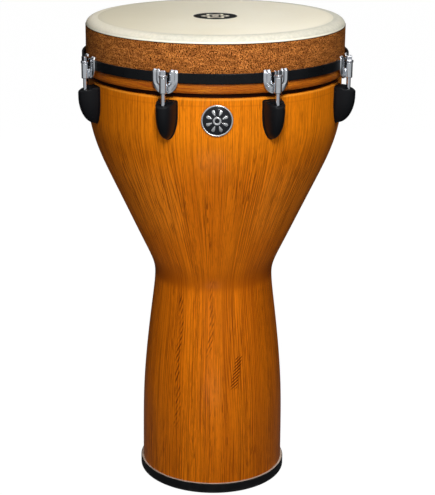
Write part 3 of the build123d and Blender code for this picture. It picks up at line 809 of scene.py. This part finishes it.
# ---------------------------------------------------------------------------
# head
# ---------------------------------------------------------------------------
def head_membrane():
    """flat film with a curved edge and a skirt, given as its outer then its inner face"""

    def crown(inset, angles):
        return [(CROWN_R + (CROWN_OUT - inset) * math.sin(t),
                 CROWN_Z + (CROWN_UP - inset) * math.cos(t)) for t in angles]

    top = CROWN_Z + CROWN_UP
    skirt = (598.0, 575.0, SKIRT_BOTTOM)
    angles = np.linspace(0, math.pi / 2, 26)
    flat = (0, 8, 20, 30, 45, 60, 80, 100, 120, 135, 144, 148.5)
    profile = [(r, top) for r in flat]
    profile += crown(0.0, angles)
    profile += [(SKIRT_R, z) for z in skirt]
    profile += [(SKIRT_R - FILM, z) for z in skirt[::-1]]
    profile += crown(FILM, np.linspace(math.pi / 2, 0, 26))
    profile += [(r, top - FILM) for r in (148.5, 135, 100, 60, 20, 0)]
    o = spin("head_film_skin", profile, closed=False, sharp=50)
    dress(o, HEAD_FILM)
    attach(o, "head_assembly", "head_membrane")


def head_collar():
    """granular band round the skirt"""
    inner = SKIRT_R + 0.02
    o = spin("head_collar_skin", rounded([
        (inner, SKIRT_BOTTOM, 0), (COLLAR_R, SKIRT_BOTTOM, 0),
        (COLLAR_R, CROWN_Z, 0.35), (inner, CROWN_Z, 0),
    ], seg=4), sharp=50)
    dress(o, COLLAR)
    attach(o, "head_assembly", "head_collar")


def flesh_hoop():
    """wooden hoop, curved below, grooved to take the skirt and the collar"""
    inner = 157.6
    centre_r, centre_z = 160.0, 551.0
    out, down = 3.6, centre_z - FLESH_BOTTOM
    outer = centre_r + out
    profile = [(inner, FLESH_BOTTOM)]
    profile += [(centre_r + out * math.sin(t), centre_z - down * math.cos(t))
                for t in np.linspace(0, math.pi / 2, 14)]
    profile += [
        (outer, 553.5), (outer, 555.4), (163.4, 556.1), (162.9, FLESH_TOP),
        (COLLAR_R, FLESH_TOP), (COLLAR_R, SKIRT_BOTTOM), (SKIRT_R - FILM, SKIRT_BOTTOM),
        (SKIRT_R - FILM, FLESH_TOP), (inner, FLESH_TOP),
    ]
    o = spin("flesh_hoop_skin", profile, sharp=50)
    dress(o, HOOP_WOOD)
    attach(o, "head_assembly", "flesh_hoop")


def counterhoop():
    """L-section hoop that sits on the flesh hoop"""
    inner, upright, outer = 161.9, 163.9, 166.5
    ledge, top = 559.0, 568.5
    o = spin("counterhoop_skin", rounded([
        (inner, FLESH_TOP, 0.4), (outer, FLESH_TOP, 0.9), (outer, top, 0.95),
        (upright, top, 0.95), (upright, ledge, 0.8), (inner, ledge, 0.5),
    ], seg=6))
    dress(o, ENAMEL)
    attach(o, "head_assembly", "counterhoop")


# ---------------------------------------------------------------------------
# tension rods: rolled thread, flange, square head
# ---------------------------------------------------------------------------
ROD_POINTS = 48
ROD_BOTTOM = 505.0
TIP_TOP, THREAD_TOP = 508.0, 531.2
SHANK_R = 2.70
CREST_R = 2.75
THREAD_PITCH = 25.4 / 24
HEAD_TURN = math.radians(18)

# above the thread, shank then flange: (radius, z)
SHANK_AND_FLANGE = [
    (SHANK_R, 531.5), (SHANK_R, 534.0), (SHANK_R, 545.0), (SHANK_R, 556.0), (SHANK_R, 563.6),
    (2.72, 564.6), (4.7, 564.6), (5.05, 564.72), (5.2, 565.0), (5.2, 565.3), (5.2, 565.7),
    (5.05, 566.02), (4.7, 566.2), (3.9, 566.2),
]
# square head: (half width, z, squareness)
SQUARE_HEAD = [
    (3.55, 566.2, 6), (3.30, 566.3, 9), (3.19, 566.6, 11), (3.175, 567.2, 12),
    (3.175, 569.0, 12), (3.175, 571.0, 12), (3.16, 571.4, 12), (3.02, 571.75, 10),
    (2.75, 571.96, 9), (2.2, 572.0, 8), (1.0, 572.0, 6),
]


def thread_loop(z):
    a = np.arange(ROD_POINTS) * TAU / ROD_POINTS
    phase = np.mod((z - ROD_BOTTOM) / THREAD_PITCH - a / TAU, 1.0)
    tooth = np.clip(1.25 - 2.7 * np.abs(phase - 0.5), 0, 1)
    tooth = tooth * tooth * (3 - 2 * tooth)
    if z < TIP_TOP:
        # thinner root at the tip, teeth growing from nothing
        root = 1.95
        tooth = tooth * min(1.0, (z - ROD_BOTTOM - 0.2) / 1.6)
    else:
        # the root fills out where the thread ends
        root = 2.20 + 0.48 * (1 - min(1.0, (THREAD_TOP - z) / 2.2))
    return circle_loop(root + (CREST_R - root) * tooth, z, ROD_POINTS)


def rod_master():
    loops = [circle_loop(0.9, ROD_BOTTOM, ROD_POINTS),
             circle_loop(1.9, ROD_BOTTOM + 0.05, ROD_POINTS)]
    z = ROD_BOTTOM + 0.3
    while z < THREAD_TOP:
        loops.append(thread_loop(z))
        z += THREAD_PITCH / 8
    loops += [circle_loop(r, z, ROD_POINTS) for r, z in SHANK_AND_FLANGE]
    loops += [circle_loop(r, z, ROD_POINTS, power, HEAD_TURN) for r, z, power in SQUARE_HEAD]
    o = skin("rod_master", loops, sharp=55)
    dress(o, ROD_CHROME)
    return o


# ---------------------------------------------------------------------------
# claws: two pressed, ridged arms that hook over the hoop, and the barrel
# ---------------------------------------------------------------------------
CLAW_FOOT = 544.4
HOOK_R, HOOK_Z = 165.3, 568.2       # centre of the bend over the hoop
HOOK_OUT, HOOK_UP = 3.15, 3.75      # reach of the bend's outer face
FRONT_INNER, REAR_INNER = 166.75, 163.65    # radii of the plate's hoop side

# heights of the loops up the front of the plate and down behind the hoop
FRONT_HEIGHTS = (CLAW_FOOT, 544.6, 545.0, 545.7, 546.6, 547.8, 549.4, 551.4, 553.9,
                 554.3, 555.0, 556.2, 557.6, 559.2, 561.2, 563.2, 565.5, 567.4)
REAR_HEIGHTS = (567.2, 566.4, 565.7, 565.3, 565.15)
BEND_STEPS = 17
# places of the outer points across an arm, 0 at its inner edge and 1 at its outer edge
ACROSS = np.array([0, .012, .035, .075, .12, .17, .22, .27, .33, .40, .46, .5,
                   .54, .60, .67, .73, .78, .83, .88, .925, .965, .988, 1.0])
# bend's hoop side, by degrees round the bend
BEND_INNER_R = ((0, 45, 135, 180), (FRONT_INNER, 166.3, 164.1, REAR_INNER))
BEND_INNER_Z = ((0, 45, 90, 135, 180), (567.9, 568.5, 568.62, 568.5, 567.9))

# barrel round the rod, one closed section: (radius, z)
BARREL = [
    (3.28, 546.0), (3.35, 545.15), (3.6, 545.0), (4.1, 545.0), (4.38, 545.12), (4.5, 545.45),
    (4.5, 546.2), (4.5, 552.0), (4.5, 560.0), (4.5, 562.4), (4.5, 562.9), (4.4, 563.25),
    (4.15, 563.48), (3.8, 563.5), (3.5, 563.5), (3.3, 563.3), (3.26, 562.6), (3.26, 555.0),
]
# web between plate and barrel: (z, half width), and its plan: (x, share of the half width)
WEB_HEIGHTS = [(545.35, 1.6), (545.6, 2.2), (546.2, 2.6), (548.0, 2.7),
               (552.0, 2.7), (555.0, 2.5), (556.3, 2.0), (556.8, 1.2)]
WEB_SIDE = [(168.0, 1.35), (168.9, 1.12), (169.6, 1.0), (170.4, 1.05), (170.9, 1.2)]


def claw_path():
    """(outer r, outer z, inner r, inner z, normal r, normal z) from the foot to the hook's end"""
    path = [(HOOK_R + HOOK_OUT, z, FRONT_INNER, z, 1.0, 0.0) for z in FRONT_HEIGHTS]
    for t in np.linspace(0, math.pi, BEND_STEPS):
        c, s = math.cos(t), math.sin(t)
        path.append((HOOK_R + HOOK_OUT * c, HOOK_Z + HOOK_UP * s,
                     np.interp(math.degrees(t), *BEND_INNER_R),
                     np.interp(math.degrees(t), *BEND_INNER_Z), c, s))
    path += [(HOOK_R - HOOK_OUT, z, REAR_INNER, z, -1.0, 0.0) for z in REAR_HEIGHTS]
    return path


def claw_outer_edge(z):
    """outer edge of an arm: rounded from the foot up to full width"""
    centre, wide, top = 3.9, 12.3, 561.0
    if z >= top:
        return centre + wide
    return centre + wide * math.sqrt(1 - ((top - z) / (top - CLAW_FOOT + 0.15)) ** 2)


def claw_inner_edge(z):
    """inner edge of an arm: round-bottomed notch between the arms, nearly closed below it"""
    half, top = 5.7, 559.6
    if z >= top:
        return half
    return max(half * math.sqrt(max(0.0, 1 - ((top - z) / half) ** 2)), 0.02)


def claw_arm(sign):
    """one arm of the plate, on the +Y or -Y side"""
    bend_start = len(FRONT_HEIGHTS)
    bend_end = bend_start + BEND_STEPS - 1
    ridges = sum(np.exp(-(((ACROSS - middle) / 0.115) ** 2)) for middle in (0.25, 0.75))
    edge = np.clip((np.abs(2 * ACROSS - 1) - 0.82) / 0.18, 0, 1)
    edge = 0.75 * (1 - np.sqrt(1 - edge**2))
    loops = []
    for k, (outer_r, outer_z, inner_r, inner_z, normal_r, normal_z) in enumerate(claw_path()):
        z = outer_z if k < bend_start else 568.5
        # hooks narrow a little over the top
        narrow = np.clip((k - bend_start) / 10, 0, 1)
        y_out = claw_outer_edge(z) - 0.9 * narrow
        y_in = claw_inner_edge(z) + 0.5 * narrow
        y = y_in + (y_out - y_in) * ACROSS
        # ridges grow from nothing above the foot and fade out behind the hoop
        grow = np.interp(z, [547.5, 552.5], [0.0, 1.0]) * np.clip(1 - (k - bend_end) / 4, 0, 1)
        lift = 0.62 * ridges * grow - edge + 0.15
        first = y[0] + 0.05 if y_in > 0.1 else y[0]
        loop = [(outer_r + normal_r * up, yy, outer_z + normal_z * up)
                for up, yy in zip(lift, y)]
        loop += [(inner_r, yy, inner_z) for yy in (y[-1] - 0.05, y[16], y[11], y[6], first)]
        loop = np.array(loop)
        if k == 0:
            # the small end loop under the foot is flat and on +Y for both arms
            middle = loop.mean(0)
            loops.append(middle + (loop - middle) * 0.72)
        # bend the plate round the drum's axis
        x = np.sqrt(loop[:, 0] ** 2 - loop[:, 1] ** 2)
        loops.append(np.stack([x, loop[:, 1] * sign, loop[:, 2]], 1))
    return skin("arm", loops)


def claw_web():
    plan = np.array(WEB_SIDE + [(x, -share) for x, share in WEB_SIDE[::-1]])
    return skin("web", [np.stack([plan[:, 0], plan[:, 1] * half, np.full(len(plan), z)], 1)
                        for z, half in WEB_HEIGHTS])


def claw_master():
    arms = [claw_arm(1), claw_arm(-1)]
    barrel = skin("barrel", [circle_loop(r, z, 64) for r, z in BARREL], closed=True)
    parts = arms + [claw_web(), barrel]
    bpy.ops.object.select_all(action="DESELECT")
    for o in parts:
        dress(o, CLAW_CHROME)
        o.select_set(True)
    bpy.context.view_layer.objects.active = barrel
    bpy.ops.object.join()
    barrel.data.set_sharp_from_angle(angle=math.radians(50))
    return barrel


# ---------------------------------------------------------------------------
# lugs: bodies that taper to the shell below, with a bore for the rod
# ---------------------------------------------------------------------------
LUG_POINTS = 96
LUG_BOTTOM, LUG_FULL_Z = 488.6, 524.0       # lowest point, and where full width is reached
LUG_HALF = 11.8
LUG_NOSE = 182.0                            # furthest reach from the drum's axis
LUG_BACK = 160.0                            # radius of the face against the shell
LUG_POWER = 2.35                            # squareness of the plan and the taper
BORE_TOP = 531.9

LUG_HEIGHTS = (488.62, 488.75, 489.1, 489.7, 490.6, 491.8, 493.3, 495.2, 497.5, 500.2,
               503.4, 507.0, 511.0, 515.5, 520.0, LUG_FULL_Z)
# top of the lug, stepping down outwards: distances from the axis, heights
LUG_CREST = ((150, 166.6, 167.4, 169.6, 170.4, 174.2, 175.4, 184),
             (534.4, 534.2, 533.95, 532.15, 531.95, 531.8, 531.45, 528.2))
# rounded top edge: (inset, drop below the crest)
LUG_EDGE = [(0.0, 1.3), (0.0, 1.1), (0.08, 0.72), (0.30, 0.34), (0.62, 0.10), (1.0, 0.0),
            (1.5, 0.0)]
# bore for the rod, at its mouth below the crest: (radius, depth)
LUG_MOUTH = [(4.85, 0.0), (4.65, 0.12)]
# rest of the bore, below BORE_TOP: (radius, depth)
LUG_BORE = [(3.6, 1.25), (3.42, 1.5), (3.4, 1.9), (3.4, 6.0), (3.4, 10.9), (3.0, 10.9)]


def lug_half(z):
    taper = ((LUG_FULL_Z - z) / (LUG_FULL_Z - LUG_BOTTOM + 0.1)) ** LUG_POWER
    return LUG_HALF * (1 - taper) ** 0.50


def lug_nose(z):
    start, full = 160.2, 523.0
    if z >= full:
        return LUG_NOSE
    drop = (full - z) / (full - LUG_BOTTOM + 0.15)
    return start + (LUG_NOSE - start) * math.sqrt(1 - drop**2)


def lug_outline(z, inset=0.0, centre=None):
    """plan at a height, found along rays from the centre by halving"""
    phi = np.arange(LUG_POINTS) * TAU / LUG_POINTS
    half, nose = lug_half(z) - inset, lug_nose(z) - inset
    start = 156.0                           # where the superellipse begins, inside the shell
    back = LUG_BACK + inset * 0.3
    if centre is None:
        centre = (LUG_BACK + nose) / 2
    low, high = np.zeros(LUG_POINTS), np.full(LUG_POINTS, 60.0)
    for _ in range(40):
        reach = (low + high) / 2
        x, y = centre + reach * np.cos(phi), reach * np.sin(phi)
        along = np.clip((x - start) / (nose - start), 0, None)
        edge = along**LUG_POWER + (np.abs(y) / half) ** LUG_POWER
        inside = (edge < 1) & (x * x + y * y > back * back)
        low, high = np.where(inside, reach, low), np.where(inside, high, reach)
    return np.stack([centre + low * np.cos(phi), low * np.sin(phi), np.full(LUG_POINTS, z)], 1)


def lug_crest(loop, drop=0.0):
    """the same loop laid at the crest's height, less a drop"""
    loop = loop.copy()
    loop[:, 2] = np.interp(loop[:, 0], *LUG_CREST) - drop
    return loop


def lug_master():
    loops = [lug_outline(z) for z in LUG_HEIGHTS]
    # walls rise to just under the crest as the centre moves over to the rod
    centre = (LUG_BACK + LUG_NOSE) / 2
    for f in (0.25, 0.55, 0.8):
        loop = lug_outline(LUG_FULL_Z, centre=centre + (ROD_CIRCLE - centre) * f)
        top = lug_crest(loop, drop=1.6)
        loop[:, 2] = LUG_FULL_Z + (top[:, 2] - LUG_FULL_Z) * f
        loops.append(loop)
    for inset, drop in LUG_EDGE:
        loops.append(lug_crest(lug_outline(LUG_FULL_Z, inset, ROD_CIRCLE), drop))
    # top face, from the edge in to the bore's rim
    edge = loops[-1]
    rim = circle_loop(4.9, 0, LUG_POINTS)
    loops += [lug_crest(edge * (1 - f) + rim * f) for f in (0.25, 0.5, 0.75, 0.93)]
    loops += [lug_crest(circle_loop(r, 0, LUG_POINTS), depth) for r, depth in LUG_MOUTH]
    loops += [circle_loop(r, BORE_TOP - depth, LUG_POINTS) for r, depth in LUG_BORE]
    o = skin("lug_master", loops, sharp=38)
    dress(o, LUG_POWDER)
    return o


# ---------------------------------------------------------------------------
# badge: rim, dome and a plain rosette on the gloss
# ---------------------------------------------------------------------------
BADGE_ANGLE = math.radians(-91.3)           # about +Z
BADGE_Z = 512.5
DOME_R = 16.68
DOME_SEAT = 0.98                            # dome's underside above the bowl

# rim from the back round its edge to the floor of the recess: (radius, height above bowl)
BADGE_RIM = [
    (6, 0.02), (14, 0.02), (18.7, 0.02), (19.0, 0.25), (19.0, 1.1), (18.8, 1.65), (18.35, 2.02),
    (17.8, 2.14), (17.25, 2.05), (16.85, 1.75), (16.72, 1.3), (16.7, 1.0), (16.2, 0.95),
    (9, 0.95),
]


def on_bowl(u, v, up):
    """points of the badge plane, u level and v up, bent on to the bowl"""
    reach = np.sqrt(SHELL_R**2 - u**2) + up
    c, s = math.cos(BADGE_ANGLE), math.sin(BADGE_ANGLE)
    return np.stack([reach * c - u * s, reach * s + u * c, BADGE_Z + v], 1)


def badge_disc(name, rings, count=96):
    """disc through rings of (radius, height above the bowl)"""
    a = np.arange(count) * TAU / count
    loops = [on_bowl(r * np.cos(a), r * np.sin(a), up) for r, up in rings]
    return skin(name, loops, sharp=60)


def dome_rise(t):
    """dome's height above the bowl at angle t up its section"""
    return 1.3 + 1.55 * np.sin(t) ** 1.4


def on_dome(u, v, up):
    return on_bowl(u, v, dome_rise(np.arccos(np.hypot(u, v) / DOME_R)) + up)


def badge():
    rim = badge_disc("badge_rim", BADGE_RIM)
    dress(rim, BADGE_CHROME)
    attach(rim, "shell_body", "badge_plate")
    rings = [(8, DOME_SEAT), (DOME_R, DOME_SEAT), (DOME_R, 1.25)]
    rings += [(DOME_R * math.cos(t), dome_rise(t))
              for t in np.linspace(0.02, math.pi / 2 - 0.03, 18)]
    inlay = badge_disc("badge_inlay", rings)
    dress(inlay, BADGE_GLOSS)
    attach(inlay, "shell_body", "badge_dome")


def rosette_petal(t):
    """drop-shaped petal pointing out at angle t"""
    reach, length, width = 9.9, 7.6, 2.75
    middle = 10.1                           # the petal narrows upwards about this radius
    points = 24
    s = TAU * np.arange(points) / points
    along = reach + length / 2 * np.cos(s)
    across = width * np.sin(s) * (0.62 + 0.38 * np.cos(s))
    c, n = math.cos(t), math.sin(t)
    u, v = along * c - across * n, along * n + across * c
    mid_u, mid_v = middle * c, middle * n
    # (share of the outline, height above the dome)
    return [on_dome(mid_u + (u - mid_u) * f, mid_v + (v - mid_v) * f, up)
            for f, up in ((1.0, -0.35), (1.0, 0.05), (0.82, 0.20), (0.4, 0.26))]


def rosette_ring():
    radius, half, points = 3.9, 1.15, 72
    a = TAU * np.arange(points) / points
    # (offset from the ring's radius, height above the dome)
    section = [(-half, -0.35), (-half, 0.05), (-half * 0.6, 0.22),
               (half * 0.6, 0.22), (half, 0.05), (half, -0.35)]
    return [on_dome((radius + out) * np.cos(a), (radius + out) * np.sin(a), up)
            for out, up in section]


def rosette():
    """eight thin petals round a ring, standing just proud of the dome"""
    petals = 8
    parts = [(rosette_petal(TAU * k / petals + TAU / petals / 2), False) for k in range(petals)]
    parts.append((rosette_ring(), True))
    verts, faces = [], []
    for loops, closed in parts:
        faces += loop_faces(len(loops), len(loops[0]), len(verts), closed)
        verts += list(np.concatenate(loops))
    o = new_object("badge_rosette", verts, faces)
    dress(o, BADGE_CHROME)
    attach(o, "shell_body")


# ---------------------------------------------------------------------------
# stage: pale floor, soft room, lights, camera
# ---------------------------------------------------------------------------
def floor():
    bpy.ops.mesh.primitive_plane_add(size=40, location=(0, 0, 0))
    o = bpy.context.object
    o.name = "floor"
    material = bpy.data.materials.new("floor_pale")
    g = Graph(material, "OutputMaterial")
    rays = g.node("LightPath").outputs
    # the camera sees it nearly evenly white
    seen = g.mix_shader(0.965, g.value("BsdfDiffuse", ((0.93, 0.93, 0.93),)),
                        g.value("Emission", ((1.0, 1.0, 1.0), 1.03)))
    # polished parts see it pale in front of the drum and round its foot, and dim behind;
    # diffuse light gets little back
    place = g.value("TexCoord", out="Object")
    front = g.split(place)[1].map(-0.10, -2.2, to=(0.02, 0.50))
    distance = g.value("VectorMath", (place,), out="Value", operation="LENGTH")
    near = distance.map(0.18, 0.55, to=(0.09, 0.0), kind="SMOOTHSTEP")
    sheen = g.value("Emission", ((0.94, 0.97, 1.0), front + near))
    under = g.mix_shader(Value(g, rays["Is Glossy Ray"]),
                         g.value("BsdfDiffuse", ((0.20, 0.20, 0.20),)), sheen)
    g.show(g.mix_shader(Value(g, rays["Is Camera Ray"]), under, seen))
    dress(o, material)


def room():
    """soft room: bright towards -Y and overhead, dark behind and low; white to the camera"""
    world = bpy.data.worlds.new("studio")
    bpy.context.scene.world = world
    g = Graph(world, "OutputWorld")
    rays = g.node("LightPath").outputs
    _, y, z = g.split(g.value("TexCoord", out="Generated"))
    front = y.map(0.25, -0.85, to=(0.05, 0.66), kind="SMOOTHSTEP")
    above_floor = z.map(-0.35, 0.25, to=(0.15, 1.0), kind="SMOOTHSTEP")
    overhead = z.map(0.55, 0.90, to=(0.0, 1.1), kind="SMOOTHSTEP")
    glow = g.max(front * above_floor, overhead)
    # diffuse light takes very little from the room
    share = Value(g, rays["Is Diffuse Ray"]).map(0.0, 1.0, to=(1.0, 0.025))
    lit = g.value("Background", ((0.97, 0.985, 1.0), glow * share))
    white = g.value("Background", ((1.0, 1.0, 1.0), 1.0))
    g.show(g.mix_shader(Value(g, rays["Is Camera Ray"]), lit, white))


def area(name, place, target, size, power, hidden=("glossy",)):
    """rectangular light aimed at a target, hidden from the named kinds of ray"""
    light = bpy.data.lights.new(name, "AREA")
    light.shape = "RECTANGLE"
    light.size, light.size_y = size
    light.energy = power
    o = link(name, light)
    o.location = place
    o.rotation_euler = (Vector(target) - Vector(place)).to_track_quat("-Z", "Y").to_euler()
    for kind in hidden:
        setattr(o, f"visible_{kind}", False)


def lights():
    area("key", place=(-0.020, -0.86, 1.15), target=(0, 0, 0.40), size=(0.18, 0.4), power=10.8)
    area("fill", place=(-0.30, -1.95, 0.26), target=(0, 0, 0.34), size=(0.4, 0.4), power=3.0)
    area("top", place=(0.58, -0.32, 1.12), target=(0.05, -0.02, 0.60), size=(0.4, 0.4),
         power=2.0)
    area("back", place=(0.45, 0.85, 1.90), target=(0, 0, 0.60), size=(0.8, 0.8), power=5.0)
    # light thrown up by the pale floor in front
    area("bounce", place=(-0.04, -0.58, 0.02), target=(-0.04, -0.47, 0.56), size=(0.26, 0.20),
         power=1.36, hidden=("glossy", "camera"))
    # so the far side isn't black
    area("rear", place=(0.05, 1.90, 0.75), target=(0, 0, 0.36), size=(0.6, 0.6), power=10.0)
    # what the polished parts see of the softbox
    area("card", place=(0.25, -1.30, 1.25), target=(0, 0, 0.50), size=(0.5, 0.4),
         power=7.0, hidden=("diffuse",))
    area("glint", place=(0.12, -1.45, 0.64), target=(0, -0.16, 0.51), size=(0.16, 0.06),
         power=0.45, hidden=("diffuse",))


def camera():
    """in front of the drum and above it, looking down, turned a little about the axis"""
    distance, height = 1.79080, 0.87756
    pitch, yaw = 0.311509, -0.026056        # radians, down and towards +X
    swing = Matrix.Rotation(math.radians(-2.41), 3, "Z")
    side = Vector((math.cos(yaw), -math.sin(yaw), 0))
    ahead = Vector((math.sin(yaw), math.cos(yaw), 0))
    forward = ahead * math.cos(pitch) - Vector((0, 0, 1)) * math.sin(pitch)
    up = ahead * math.sin(pitch) + Vector((0, 0, 1)) * math.cos(pitch)
    side, forward, up = swing @ side, swing @ forward, swing @ up
    place = swing @ Vector((0, -distance, height))
    data = bpy.data.cameras.new("camera")
    data.sensor_width = 36.0
    data.lens = 104.472
    data.shift_x = 0.08024242
    data.shift_y = 0.009818182
    data.clip_start, data.clip_end = 0.05, 100
    o = link("camera", data)
    o.matrix_world = Matrix((
        (side.x, up.x, -forward.x, place.x),
        (side.y, up.y, -forward.y, place.y),
        (side.z, up.z, -forward.z, place.z),
        (0, 0, 0, 1),
    ))
    bpy.context.scene.camera = o
    bpy.context.scene.view_settings.view_transform = "Standard"


# ---------------------------------------------------------------------------
# build
# ---------------------------------------------------------------------------
dress_frame_parts(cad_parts)
shell()
foot_ring()
head_membrane()
head_collar()
flesh_hoop()
counterhoop()
repeat_at_stations(rod_master(), "tension_rod_{}_threaded", body="rod_{}",
                   node="tension_rod_{}")
repeat_at_stations(claw_master(), "claw_{}_pressed", body="head_assembly",
                   node="claw_{}")
repeat_at_stations(lug_master(), "lug_{}_casing", body="shell_body",
                   node="lug_{}")
badge()
rosette()
floor()
room()
lights()
camera()

bpy.context.view_layer.update()
